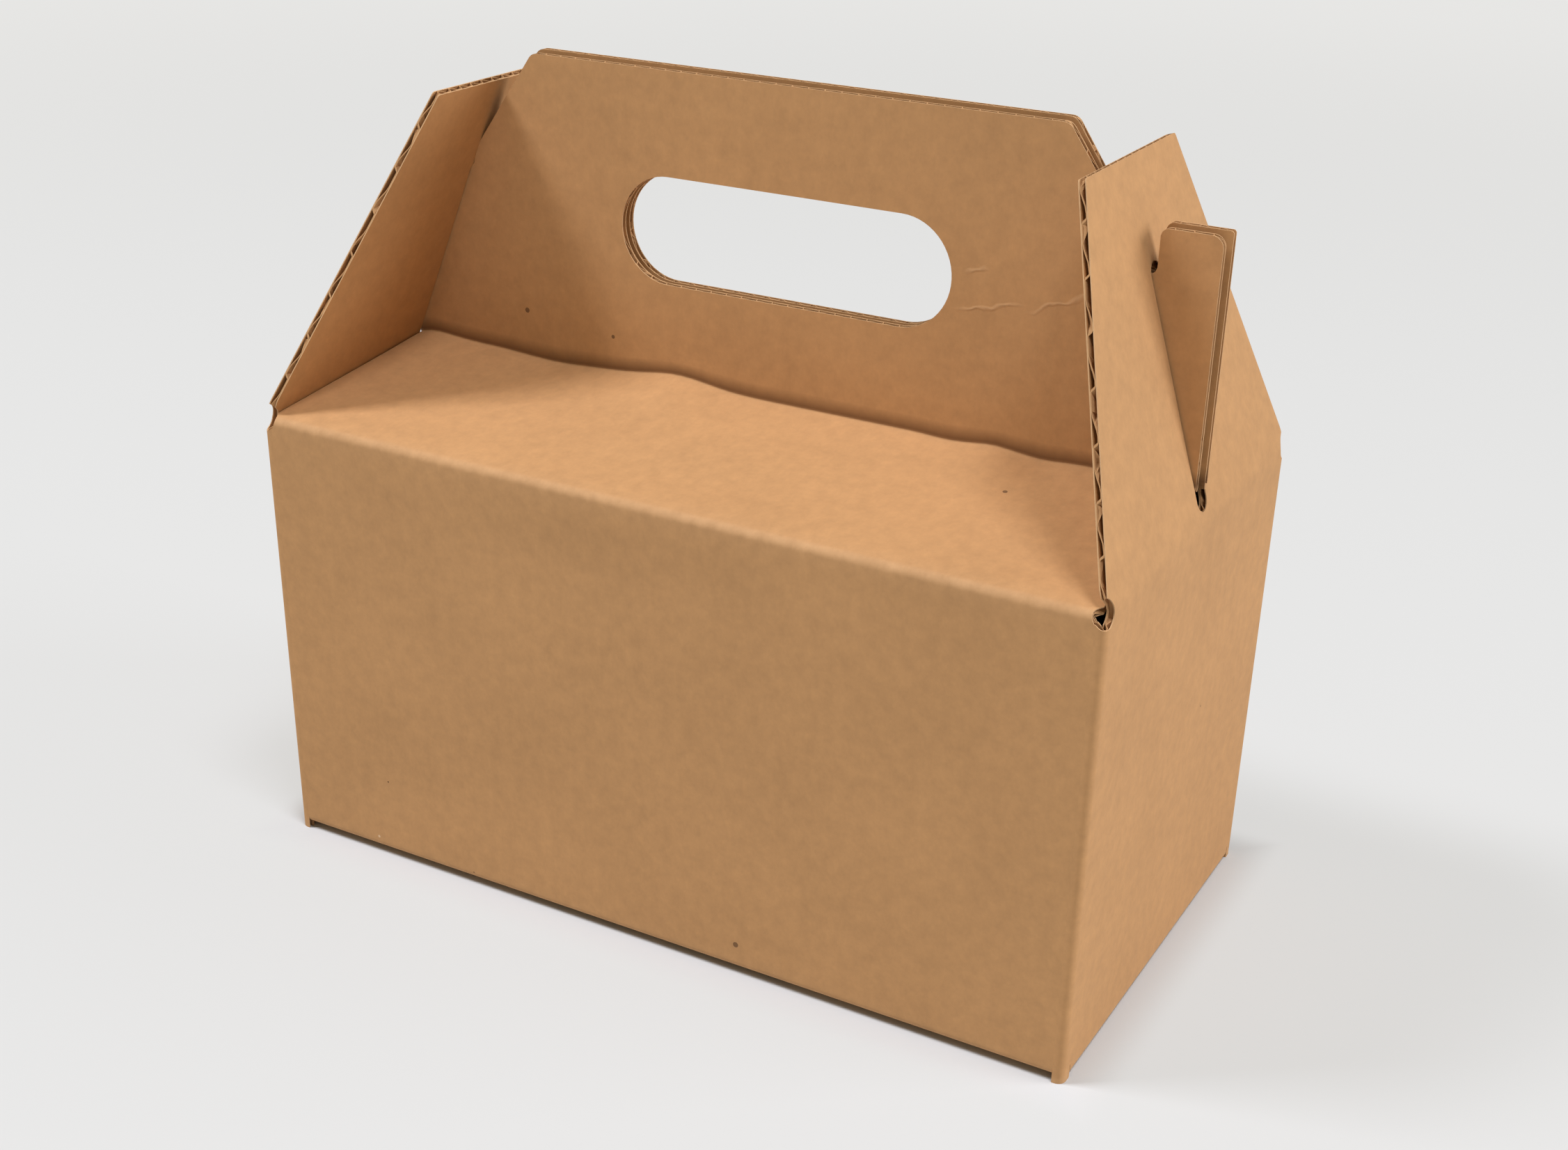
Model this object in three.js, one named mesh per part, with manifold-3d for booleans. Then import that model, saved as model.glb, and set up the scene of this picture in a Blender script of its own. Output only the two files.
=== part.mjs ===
// A carry box folded from one blank of kraft corrugated board. The front and back walls run on
// into a roof panel and a ply of the handle. Each end wall runs on into a slotted flap that leans
// inwards and is held by the hook at that end of the handle.
// Millimetres, +Z up, +X along the box, front wall towards -Y, origin under the middle of the box.

import * as THREE from 'three';
import * as BufferGeometryUtils from 'three/addons/utils/BufferGeometryUtils.js';
import Module from 'manifold-3d';

const wasm = await Module();
wasm.setup();

// Board
const board = 2.0;
const liner = 0.28;
const web = 0.24;
const flutePitch = 4.6;
const creaseBand = 4.0;

// Box body
const bodyLength = 241.7;
const bodyWidth = 128.8;
const wallHeight = 127;
const foldRadius = 2.2;
const cornerRelief = 4.0;

// Bottom: two flaps from the end walls lie outermost and carry the box, under two flaps that
// are folded in from the front and back walls and meet at a seam
const sleeveLift = 1.6;
const endFlapInset = 4.5;
const endFlapReach = 78;
const bottomSeam = 1.0;

// Roof and handle
const roofRise = 8.7;
const plyGap = 1.6;
const handleShift = 2.9;
const holeLength = 96.3;
const holeHeight = 28.6;
const holeAboveFold = 26.6;
const gripAboveHole = 26.9;
const backPlyRise = 0.7;
const handleCornerRadius = 3.0;

// Hooks at the two ends of the handle
const tabInset = 4.65;
const tabAboveFold = 61.1;
const throatAboveFold = 50.0;
const fingerWidth = 16.1;
const notchWidth = 4.3;
const throatFlat = 0.1;
const shoulderRun = 20.1;
const fingerTipRadius = 2.0;
const frontTabRadius = 3.0;
const backTabRadius = 0.8;
const backTabReach = 1.0;

// End flaps
const flapTopWidth = 57;
const flapCornerRadius = 1.0;
const slotClearance = 0.5;
const slotAboveCrease = 2.6;
const hookClearance = 0.4;
const boardAboveSlot = 16.5;
const creaseGap = 0.3;
const flapClearance = 0.4;

// Facets on an arc and round and up a ball
const arcSteps = 5;
const ballAround = 14;
const ballUp = 9;

// Values worked out from the sizes above
const margin = 5;
const halfLength = bodyLength / 2;
const halfWidth = bodyWidth / 2;
const halfGap = plyGap / 2;
const plyFace = halfGap + board;
const foldHeight = wallHeight + roofRise;
const roofAngle = Math.atan2(roofRise, halfWidth - plyFace);
const handleTop = foldHeight + holeAboveFold + holeHeight + gripAboveHole;
const tabTop = foldHeight + tabAboveFold;
const throatHeight = foldHeight + throatAboveFold;
const tabReach = halfLength - tabInset;
const fingerInner = tabReach - fingerWidth;
const throatInner = fingerInner - notchWidth;
const handleTopHalf = throatInner - shoulderRun;
const slotWidth = 2 * (plyFace + slotClearance);
const floorTop = sleeveLift + board;

const kraft = new THREE.MeshStandardMaterial({ color: 0xb98d61, roughness: 0.86, metalness: 0 });
const kraftFlap = new THREE.MeshStandardMaterial({ color: 0xc79b6f, roughness: 0.86, metalness: 0 });

// A closed shape through corners of the form [across, up, radius], each rounded by an arc.
function roundedShape(corners) {
  const shape = new THREE.Shape();
  corners.forEach(([x, y, radius], index) => {
    const corner = new THREE.Vector2(x, y);
    const before = corners[(index + corners.length - 1) % corners.length];
    const after = corners[(index + 1) % corners.length];
    const back = new THREE.Vector2(before[0], before[1]).sub(corner).normalize();
    const ahead = new THREE.Vector2(after[0], after[1]).sub(corner).normalize();
    const half = Math.acos(THREE.MathUtils.clamp(back.dot(ahead), -1, 1)) / 2;
    const straight = radius < 1e-6 || half > Math.PI / 2 - 1e-3;
    if (straight) {
      if (index === 0) shape.moveTo(x, y);
      else shape.lineTo(x, y);
      return;
    }
    const run = radius / Math.tan(half);
    const start = corner.clone().addScaledVector(back, run);
    const end = corner.clone().addScaledVector(ahead, run);
    const bisector = back.clone().add(ahead).normalize();
    const centre = corner.clone().addScaledVector(bisector, radius / Math.sin(half));
    const startAngle = Math.atan2(start.y - centre.y, start.x - centre.x);
    const endAngle = Math.atan2(end.y - centre.y, end.x - centre.x);
    const clockwise = back.cross(ahead) > 0;
    if (index === 0) shape.moveTo(start.x, start.y);
    else shape.lineTo(start.x, start.y);
    shape.absarc(centre.x, centre.y, radius, startAngle, endAngle, clockwise);
  });
  shape.closePath();
  return shape;
}

// A closed three.js geometry as a solid that can be joined and cut.
function solidFrom(geometry) {
  geometry.deleteAttribute('normal');
  geometry.deleteAttribute('uv');
  const merged = BufferGeometryUtils.mergeVertices(geometry, 1e-5);
  const mesh = new wasm.Mesh({
    numProp: 3,
    vertProperties: new Float32Array(merged.attributes.position.array),
    triVerts: new Uint32Array(merged.index.array),
  });
  return new wasm.Manifold(mesh);
}

// Extrudes a shape and turns it: the shape's own axes become two given axes of the box.
function extruded(shape, depth, across, up, start) {
  const options = { depth, bevelEnabled: false, curveSegments: arcSteps };
  const geometry = new THREE.ExtrudeGeometry(shape, options);
  const along = new THREE.Vector3().crossVectors(across, up);
  geometry.translate(0, 0, start);
  geometry.applyMatrix4(new THREE.Matrix4().makeBasis(across, up, along));
  return solidFrom(geometry);
}

const axisX = new THREE.Vector3(1, 0, 0);
const axisY = new THREE.Vector3(0, 1, 0);
const axisZ = new THREE.Vector3(0, 0, 1);

// Shapes drawn across the box and up it, run along its length.
function alongLength(shape, from, to) {
  return extruded(shape, to - from, axisY, axisZ, from);
}

// Shapes drawn along the box and up it, run through its width from front to back.
function throughWidth(shape, from, to) {
  return extruded(shape, to - from, axisX, axisZ, -to);
}

// Shapes drawn flat, run upwards.
function upwards(shape, from, to) {
  return extruded(shape, to - from, axisX, axisY, from);
}

function meshFrom(solid, name, material) {
  const { vertProperties, triVerts, numProp } = solid.getMesh();
  const positions = new Float32Array(vertProperties.length / numProp * 3);
  for (let vertex = 0; vertex < positions.length / 3; vertex += 1) {
    for (let axis = 0; axis < 3; axis += 1) {
      positions[3 * vertex + axis] = vertProperties[numProp * vertex + axis];
    }
  }
  const geometry = new THREE.BufferGeometry();
  geometry.setAttribute('position', new THREE.BufferAttribute(positions, 3));
  geometry.setIndex(new THREE.BufferAttribute(new Uint32Array(triVerts), 1));
  geometry.computeVertexNormals();
  const mesh = new THREE.Mesh(geometry, material);
  mesh.name = name;
  return mesh;
}

// The open channels between the liners and the leaning web of a fluted board. The board's outer
// face is at zero, its inner face at minus the thickness, and the channels run upwards.
function fluteChannels(halfRun, from, to) {
  const outer = -liner;
  const inner = liner - board;
  const rise = 0.1 * flutePitch;
  const crest = 0.2 * flutePitch;
  const foot = 0.66 * flutePitch;
  const channels = [];
  const count = Math.ceil(halfRun / flutePitch);
  for (let index = -count; index < count; index += 1) {
    const left = index * flutePitch;
    const outerChannel = new THREE.Shape([
      new THREE.Vector2(left + crest, outer),
      new THREE.Vector2(left + foot, inner + web),
      new THREE.Vector2(left + flutePitch - web / 2, inner + web),
      new THREE.Vector2(left + flutePitch + rise - web, outer),
    ]);
    const innerChannel = new THREE.Shape([
      new THREE.Vector2(left + web / 2, inner),
      new THREE.Vector2(left + foot - web, inner),
      new THREE.Vector2(left + rise + web, outer - 2 * web),
    ]);
    channels.push(upwards(outerChannel, from, to), upwards(innerChannel, from, to));
  }
  return wasm.Manifold.union(channels);
}

// The carton's section across its length: bottom, walls, creases and roof panels, open between
// the two plies of the handle.
function bodySection() {
  const underside = (across) => wallHeight + (halfWidth - across) * Math.tan(roofAngle)
    - board / Math.cos(roofAngle);
  const wallInside = halfWidth - board;
  const fold = foldRadius;
  return roundedShape([
    [-halfWidth, sleeveLift, fold],
    [halfWidth, sleeveLift, fold],
    [halfWidth, wallHeight, fold],
    [plyFace, foldHeight, 0],
    [halfGap, foldHeight, 0],
    [halfGap, underside(halfGap), 0],
    [wallInside, underside(wallInside), 0],
    [wallInside, floorTop, 0],
    [-wallInside, floorTop, 0],
    [-wallInside, underside(wallInside), 0],
    [-halfGap, underside(halfGap), 0],
    [-halfGap, foldHeight, 0],
    [-plyFace, foldHeight, 0],
    [-halfWidth, wallHeight, fold],
  ]);
}

// How far a flap leans inwards: its board stands in the notch of the hook on its side.
function flapLean(side) {
  const notchMiddle = throatInner + notchWidth / 2 + side * handleShift;
  return Math.atan2(halfLength - board / 2 - notchMiddle, throatHeight - wallHeight);
}

// The greatest distance from a flap's crease to the hook that its slot has to pass over.
function hookReach(side) {
  const tipAcross = halfLength - (fingerInner + fingerTipRadius + side * handleShift);
  const tipUp = tabTop + backPlyRise - fingerTipRadius - wallHeight;
  return Math.hypot(tipAcross, tipUp) + fingerTipRadius;
}

// One ply of the handle with its hooks and hand hole, drawn about the middle of the handle.
function plyShape(extraRise, tabExtra, tabRadius) {
  const top = handleTop + extraRise;
  const tip = tabTop + extraRise;
  const tab = tabReach - backTabReach + tabExtra;
  const notch = (notchWidth - throatFlat) / 2;
  const base = foldHeight - board / 2;
  const half = [
    [tab, base, 0],
    [tab, tip, tabRadius],
    [fingerInner, tip, fingerTipRadius],
    [fingerInner, throatHeight, notch],
    [throatInner, throatHeight, notch],
    [throatInner, throatHeight + notchWidth, 0],
    [handleTopHalf, top, handleCornerRadius],
  ];
  const mirrored = half.map(([across, up, radius]) => [-across, up, radius]).reverse();
  const shape = roundedShape([...half, ...mirrored]);
  const holeRadius = holeHeight / 2;
  const holeMiddle = foldHeight + holeAboveFold + holeRadius;
  const holeEnd = holeLength / 2 - holeRadius;
  const hole = new THREE.Path();
  hole.moveTo(holeEnd, holeMiddle - holeRadius);
  hole.absarc(holeEnd, holeMiddle, holeRadius, -Math.PI / 2, Math.PI / 2, false);
  hole.absarc(-holeEnd, holeMiddle, holeRadius, Math.PI / 2, 3 * Math.PI / 2, false);
  hole.closePath();
  shape.holes.push(hole);
  return shape;
}

// A ply as fluted board with its channels open at every cut edge: front is -1 and back is +1.
function handlePly(facing, extraRise, tabExtra, tabRadius) {
  const shape = plyShape(extraRise, tabExtra, tabRadius);
  const solid = throughWidth(shape, -plyFace, -halfGap);
  const channels = fluteChannels(tabReach + margin, foldHeight + creaseBand, handleTop + margin)
    .rotate([0, 0, 180])
    .translate([0, -plyFace, 0]);
  const ply = solid.subtract(channels);
  return facing < 0 ? ply : ply.rotate([0, 0, 180]);
}

// Everything above a flap's crease and beyond the inner face of the flap.
function flapSpace(side) {
  const lean = flapLean(side);
  const low = wallHeight - creaseGap / 2;
  const high = handleTop + margin;
  const inner = (up) => halfLength - (up - wallHeight) * Math.tan(lean)
    - (board + flapClearance) / Math.cos(lean);
  const space = new THREE.Shape([
    new THREE.Vector2(inner(low), low),
    new THREE.Vector2(halfLength + margin, low),
    new THREE.Vector2(halfLength + margin, high),
    new THREE.Vector2(inner(high), high),
  ]);
  const solid = throughWidth(space, -halfWidth - margin, halfWidth + margin);
  return side > 0 ? solid : solid.rotate([0, 0, 180]);
}

// The round die-cut relief where the creases meet, at the four upper corners of the walls.
function cornerReliefs() {
  const ball = solidFrom(new THREE.SphereGeometry(cornerRelief, ballAround, ballUp));
  const corners = [];
  for (const side of [-1, 1]) {
    for (const facing of [-1, 1]) {
      corners.push(ball.translate([side * halfLength, facing * halfWidth, wallHeight]));
    }
  }
  return wasm.Manifold.union(corners);
}

function cartonSolid() {
  const upright = handleTop + backPlyRise + margin;
  const ring = alongLength(bodySection(), -halfLength, halfLength);
  const endWall = new THREE.Shape([
    new THREE.Vector2(-halfWidth, 0),
    new THREE.Vector2(halfWidth, 0),
    new THREE.Vector2(halfWidth, wallHeight - board),
    new THREE.Vector2(halfWidth - board, wallHeight),
    new THREE.Vector2(board - halfWidth, wallHeight),
    new THREE.Vector2(-halfWidth, wallHeight - board),
  ]);
  const walls = [
    alongLength(endWall, halfLength - board, halfLength),
    alongLength(endWall, -halfLength, board - halfLength),
  ];
  const plan = roundedShape([
    [-halfLength, -halfWidth, foldRadius],
    [halfLength, -halfWidth, foldRadius],
    [halfLength, halfWidth, foldRadius],
    [-halfLength, halfWidth, foldRadius],
  ]);
  const side = roundedShape([
    [-halfLength, 0, foldRadius],
    [halfLength, 0, foldRadius],
    [halfLength, upright, 0],
    [-halfLength, upright, 0],
  ]);
  const endFlap = new THREE.Shape([
    new THREE.Vector2(endFlapInset - halfWidth, 0),
    new THREE.Vector2(halfWidth - endFlapInset, 0),
    new THREE.Vector2(halfWidth - endFlapInset, board),
    new THREE.Vector2(endFlapInset - halfWidth, board),
  ]);
  const bottomFlaps = [
    alongLength(endFlap, halfLength - endFlapReach, halfLength),
    alongLength(endFlap, -halfLength, endFlapReach - halfLength),
  ];
  const seam = new THREE.Shape([
    new THREE.Vector2(-bottomSeam / 2, sleeveLift - margin),
    new THREE.Vector2(bottomSeam / 2, sleeveLift - margin),
    new THREE.Vector2(bottomSeam / 2, floorTop - board / 4),
    new THREE.Vector2(-bottomSeam / 2, floorTop - board / 4),
  ]);
  const seamHalf = halfLength - endFlapReach;
  const body = wasm.Manifold.union([ring, ...walls, ...bottomFlaps])
    .intersect(upwards(plan, -margin, upright))
    .intersect(throughWidth(side, -halfWidth - margin, halfWidth + margin))
    .subtract(alongLength(seam, -seamHalf, seamHalf))
    .subtract(flapSpace(1))
    .subtract(flapSpace(-1))
    .subtract(cornerReliefs());
  const frontPly = handlePly(-1, 0, 0, frontTabRadius);
  const backPly = handlePly(1, backPlyRise, backTabReach, backTabRadius);
  const plies = frontPly.add(backPly).translate([handleShift, 0, 0]);
  return body.add(plies);
}

// A flap in its own frame: crease on the origin, board rising along Z, outer face towards +X.
function flapSolid(side) {
  const lean = flapLean(side);
  const slotTop = hookReach(side) + hookClearance;
  const length = slotTop + boardAboveSlot;
  const topHalf = flapTopWidth / 2;
  const outline = roundedShape([
    [-halfWidth, 0, 0],
    [halfWidth, 0, 0],
    [topHalf, length, flapCornerRadius],
    [-topHalf, length, flapCornerRadius],
  ]);
  const slotRadius = slotWidth / 2;
  const slot = new THREE.Path();
  slot.moveTo(slotRadius, slotAboveCrease + slotRadius);
  slot.absarc(0, slotTop - slotRadius, slotRadius, 0, Math.PI, false);
  slot.absarc(0, slotAboveCrease + slotRadius, slotRadius, Math.PI, 2 * Math.PI, false);
  slot.closePath();
  outline.holes.push(slot);
  const bevel = (depth) => (creaseGap / 2 + depth * Math.sin(lean)) / Math.cos(lean);
  const section = new THREE.Shape([
    new THREE.Vector2(-board, bevel(board)),
    new THREE.Vector2(0, bevel(0)),
    new THREE.Vector2(0, length + margin),
    new THREE.Vector2(-board, length + margin),
  ]);
  const channels = fluteChannels(halfWidth, creaseBand, length + margin).rotate([0, 0, -90]);
  const ball = solidFrom(new THREE.SphereGeometry(cornerRelief, ballAround, ballUp));
  return alongLength(outline, -board, 0)
    .intersect(throughWidth(section, -halfWidth - margin, halfWidth + margin))
    .subtract(channels)
    .subtract(ball.translate([0, halfWidth, 0]))
    .subtract(ball.translate([0, -halfWidth, 0]));
}

function endFlap(side, name) {
  const hinge = new THREE.Group();
  hinge.position.set(side * halfLength, 0, wallHeight);
  hinge.rotation.z = side > 0 ? 0 : Math.PI;
  const flap = meshFrom(flapSolid(side), name, kraftFlap);
  flap.rotation.y = -flapLean(side);
  hinge.add(flap);
  return hinge;
}

const lunchBox = new THREE.Group();
lunchBox.name = 'cardboard_lunch_box';
lunchBox.add(meshFrom(cartonSolid(), 'carton', kraft));
lunchBox.add(endFlap(1, 'right_end_flap'));
lunchBox.add(endFlap(-1, 'left_end_flap'));

export default lunchBox;
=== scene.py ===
"""A carry box folded from one blank of kraft corrugated board.

Four sheets make it: a front and a back sheet (bottom panel, wall, roof panel and handle ply) and two end
sheets (bottom flap, wall and slotted flap). Each is drawn flat in millimetres, built up from two liners and
a fluted web, and folded along its creases into metres, in the same frame as the solids.
"""
import math

import bpy
import numpy as np
from mathutils import Matrix, Vector
from mathutils.geometry import delaunay_2d_cdt


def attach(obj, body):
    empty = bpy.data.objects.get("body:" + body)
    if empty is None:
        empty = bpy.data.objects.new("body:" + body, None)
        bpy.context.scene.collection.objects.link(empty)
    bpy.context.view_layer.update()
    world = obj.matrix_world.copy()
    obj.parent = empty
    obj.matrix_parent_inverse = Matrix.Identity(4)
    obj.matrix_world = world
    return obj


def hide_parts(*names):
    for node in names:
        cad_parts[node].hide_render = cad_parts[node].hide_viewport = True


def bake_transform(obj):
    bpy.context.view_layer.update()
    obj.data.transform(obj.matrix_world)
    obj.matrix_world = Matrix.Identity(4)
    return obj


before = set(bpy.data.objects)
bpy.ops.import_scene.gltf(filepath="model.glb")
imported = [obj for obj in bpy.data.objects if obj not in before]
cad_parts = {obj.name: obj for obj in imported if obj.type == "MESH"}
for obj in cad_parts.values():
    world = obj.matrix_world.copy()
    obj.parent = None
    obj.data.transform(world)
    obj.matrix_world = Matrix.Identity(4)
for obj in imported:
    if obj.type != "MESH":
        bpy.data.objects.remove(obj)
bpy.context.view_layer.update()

MM = 0.001

# Board
BOARD = 2.0
LINER = 0.28
WEB = 0.24
FLUTE_PITCH = 4.6
FLUTE_RISE = 0.10
FLUTE_CREST = 0.20
FLUTE_FOOT = 0.66

# Box body
BODY_LENGTH = 241.7
BODY_WIDTH = 128.8
WALL_HEIGHT = 127.0
FOLD_RADIUS = 2.2
CORNER_RELIEF = 4.0
CORNER_WRAP = 0.8
JOINT_GAP = 0.005

# Bottom
SLEEVE_LIFT = 1.6
END_FLAP_INSET = 4.5
END_FLAP_REACH = 78.0
BOTTOM_SEAM = 1.0
LAP_LIFT = 2.05
CORNER_SLIT = 0.3

# Roof and handle
ROOF_RISE = 8.7
PLY_GAP = 1.6
HANDLE_SHIFT = 2.9
HOLE_LENGTH = 96.3
HOLE_HEIGHT = 28.6
HOLE_ABOVE_FOLD = 26.6
GRIP_ABOVE_HOLE = 26.9
BACK_PLY_RISE = 0.7
HANDLE_CORNER_RADIUS = 3.0
RIDGE_RADIUS = 0.4

# Hooks at the two ends of the handle
TAB_INSET = 4.65
TAB_ABOVE_FOLD = 61.1
THROAT_ABOVE_FOLD = 50.0
FINGER_WIDTH = 16.1
NOTCH_WIDTH = 4.3
THROAT_FLAT = 0.1
SHOULDER_RUN = 20.1
FINGER_TIP_RADIUS = 2.0
FRONT_TAB_RADIUS = 3.0
BACK_TAB_RADIUS = 0.8
BACK_TAB_REACH = 1.0
PLY_FOOT = 6.0
FOOT_REACH = 0.5

# End flaps
FLAP_TOP_WIDTH = 57.0
FLAP_CORNER_RADIUS = 1.0
SLOT_CLEARANCE = 0.5
SLOT_ABOVE_CREASE = 2.6
HOOK_CLEARANCE = 0.4
SLOT_ABOVE_THROAT = 2.5
BOARD_ABOVE_SLOT = 16.5
FLAP_CLEARANCE = 0.4
FLAP_CREASE_RADIUS = 12.0
WEB_CLEARANCE = 0.004

# Places worked out from the sizes above
HALF_LENGTH = BODY_LENGTH / 2
HALF_WIDTH = BODY_WIDTH / 2
HALF_GAP = PLY_GAP / 2
PLY_FACE = HALF_GAP + BOARD
FOLD_HEIGHT = WALL_HEIGHT + ROOF_RISE
HANDLE_TOP = FOLD_HEIGHT + HOLE_ABOVE_FOLD + HOLE_HEIGHT + GRIP_ABOVE_HOLE
TAB_TOP = FOLD_HEIGHT + TAB_ABOVE_FOLD
THROAT_HEIGHT = FOLD_HEIGHT + THROAT_ABOVE_FOLD
TAB_REACH = HALF_LENGTH - TAB_INSET
FINGER_INNER = TAB_REACH - FINGER_WIDTH
THROAT_INNER = FINGER_INNER - NOTCH_WIDTH
HANDLE_TOP_HALF = THROAT_INNER - SHOULDER_RUN
SLOT_WIDTH = 2 * (PLY_FACE + SLOT_CLEARANCE)
WRAP_ARC = FOLD_RADIUS * math.pi / 2
FRONT_EDGE = HALF_LENGTH - FOLD_RADIUS - CORNER_WRAP
END_EDGE = HALF_WIDTH - FOLD_RADIUS + WRAP_ARC + CORNER_WRAP - JOINT_GAP


def flap_lean(side):
    """How far a flap leans inwards: its board stands in the notch of the hook on its side."""
    notch_middle = THROAT_INNER + NOTCH_WIDTH / 2 + side * HANDLE_SHIFT
    return math.atan2(HALF_LENGTH - BOARD / 2 - notch_middle, THROAT_HEIGHT - WALL_HEIGHT)


def slot_top(side):
    """Distance from a flap's crease to the top of its slot, which clears the hook as the flap swings."""
    tip_across = HALF_LENGTH - (FINGER_INNER + FINGER_TIP_RADIUS + side * HANDLE_SHIFT)
    tip_up = TAB_TOP + BACK_PLY_RISE - FINGER_TIP_RADIUS - WALL_HEIGHT
    return math.hypot(tip_across, tip_up) + FINGER_TIP_RADIUS + HOOK_CLEARANCE


def seen_slot_top(side):
    """Where the slot ends on the real flap, which flexes over the hook: just above the hook's throat."""
    return (THROAT_HEIGHT + SLOT_ABOVE_THROAT - WALL_HEIGHT) / math.cos(flap_lean(side))


def roof_end(side, height):
    """Where a roof panel ends at a height, clear of the inner face of the leaning flap."""
    lean = flap_lean(side)
    return (HALF_LENGTH - (height - WALL_HEIGHT) * math.tan(lean)
            - (BOARD + FLAP_CLEARANCE) / math.cos(lean))


# Folding

class FoldedLine:
    """The outer face of a sheet seen end on: straight panels joined by round creases.

    Corners are (out, up, radius). Depth runs from the outer face into the board, to the left of the line.
    """

    def __init__(self, corners):
        points = [np.array(corner[:2], float) for corner in corners]
        self.parts = []
        self.before = [0.0] * len(corners)
        self.after = [0.0] * len(corners)
        along = 0.0
        here = points[0]
        for index in range(1, len(points)):
            leg = points[index] - here
            heading = math.atan2(leg[1], leg[0])
            trim = 0.0
            turn = 0.0
            if index < len(points) - 1:
                ahead = points[index + 1] - points[index]
                turn = math.atan2(ahead[1], ahead[0]) - heading
                trim = corners[index][2] * math.tan(abs(turn) / 2)
            length = math.hypot(*leg) - trim
            self.parts.append((along, length, here, heading, 0.0))
            along += length
            self.before[index] = along + trim
            self.after[index] = along + trim
            if turn:
                radius = corners[index][2]
                start = points[index] - trim * np.array([math.cos(heading), math.sin(heading)])
                bend = math.copysign(1 / radius, turn)
                self.parts.append((along, radius * abs(turn), start, heading, bend))
                along += radius * abs(turn)
                self.after[index] = along - trim
                onward = np.array([math.cos(heading + turn), math.sin(heading + turn)])
                here = points[index] + trim * onward
        self.end = along
        self.start = np.array([part[0] for part in self.parts])
        self.point = np.array([part[2] for part in self.parts])
        self.heading = np.array([part[3] for part in self.parts])
        self.bend = np.array([part[4] for part in self.parts])

    def place(self, along, depth):
        """Where points of the sheet lie, from their distance along the outer face and their depth."""
        part = np.clip(np.searchsorted(self.start, along, side="right") - 1, 0, len(self.start) - 1)
        run = along - self.start[part]
        turn = self.bend[part] * run
        middle = self.heading[part] + turn / 2
        chord = run * np.sinc(turn / (2 * np.pi))
        heading = self.heading[part] + turn
        out = self.point[part, 0] + chord * np.cos(middle) - depth * np.sin(heading)
        up = self.point[part, 1] + chord * np.sin(middle) + depth * np.cos(heading)
        return out, up

    def rows(self, step, arc_step=math.radians(11), margin=0.5):
        """Distances at which the sheet gets a row of points: close together round each crease."""
        found = []
        for along, length, _, _, bend in self.parts:
            if bend:
                count = max(4, math.ceil(length * abs(bend) / arc_step))
                found.extend(np.linspace(along, along + length, count + 1))
            elif length > 4 * margin:
                count = max(1, math.ceil((length - 2 * margin) / step))
                found.extend([along, along + length])
                found.extend(np.linspace(along + margin, along + length - margin, count + 1))
        return thinned(found)

    def crease(self, index):
        """Middle of the round part at a corner."""
        return (self.before[index] + self.after[index]) / 2


def thinned(values, closest=0.05):
    """Sorted values with near repeats left out."""
    kept = []
    for value in sorted(values):
        if not kept or value - kept[-1] > closest:
            kept.append(float(value))
    return np.array(kept)


# Flat patterns

def rounded(corners, longest=0.7):
    """Points round a closed pattern of (across, along, radius) corners."""
    points = []
    count = len(corners)
    for index, (x, y, radius) in enumerate(corners):
        corner = np.array([x, y], float)
        if not radius:
            points.append(corner)
            continue
        back = np.array(corners[index - 1][:2]) - corner
        ahead = np.array(corners[(index + 1) % count][:2]) - corner
        back /= np.linalg.norm(back)
        ahead /= np.linalg.norm(ahead)
        half = math.acos(np.clip(back @ ahead, -1, 1)) / 2
        run = radius / math.tan(half)
        start = corner + back * run
        end = corner + ahead * run
        bisector = (back + ahead) / np.linalg.norm(back + ahead)
        centre = corner + bisector * radius / math.sin(half)
        first = math.atan2(*(start - centre)[::-1])
        sweep = math.atan2(*(end - centre)[::-1]) - first
        sweep = (sweep + math.pi) % (2 * math.pi) - math.pi
        steps = max(4, math.ceil(abs(sweep) * radius / longest), math.ceil(abs(sweep) / 0.2))
        for share in np.linspace(0, 1, steps + 1):
            angle = first + sweep * share
            points.append(centre + radius * np.array([math.cos(angle), math.sin(angle)]))
    return np.array(points)


def stadium(middle, half_run, radius, upright=False, steps=28):
    """Points round a slot with round ends."""
    points = []
    for end in (1, -1):
        for angle in np.linspace(-math.pi / 2, math.pi / 2, steps + 1):
            x = end * (half_run + radius * math.cos(angle))
            y = end * radius * math.sin(angle)
            points.append((middle[0] - y, middle[1] + x) if upright else (middle[0] + x, middle[1] + y))
    return np.array(points)


def with_crossings(loop, columns, rows, closest=0.03):
    """A closed loop with a point added wherever it crosses a column or a row."""
    out = []
    for a, b in zip(loop, np.roll(loop, -1, axis=0)):
        shares = [0.0]
        for axis, lines in ((0, columns), (1, rows)):
            run = b[axis] - a[axis]
            if abs(run) > 1e-9:
                hits = (lines - a[axis]) / run
                shares.extend(hits[(hits > 0) & (hits < 1)])
        length = np.linalg.norm(b - a)
        shares = sorted(shares)
        kept = [0.0]
        for share in shares[1:]:
            if (share - kept[-1]) * length > closest and (1 - share) * length > closest:
                kept.append(share)
        out.extend(a + (b - a) * share for share in kept)
    return np.array(out)


def inside(points, loops):
    """Which points lie inside the outer loop and outside the holes."""
    result = np.zeros(len(points), bool)
    x, y = points[:, 0], points[:, 1]
    for loop in loops:
        for (ax, ay), (bx, by) in zip(loop, np.roll(loop, -1, axis=0)):
            if ay == by:
                continue
            crosses = (ay > y) != (by > y)
            result ^= crosses & (x < (bx - ax) * (y - ay) / (by - ay) + ax)
    return result


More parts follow.
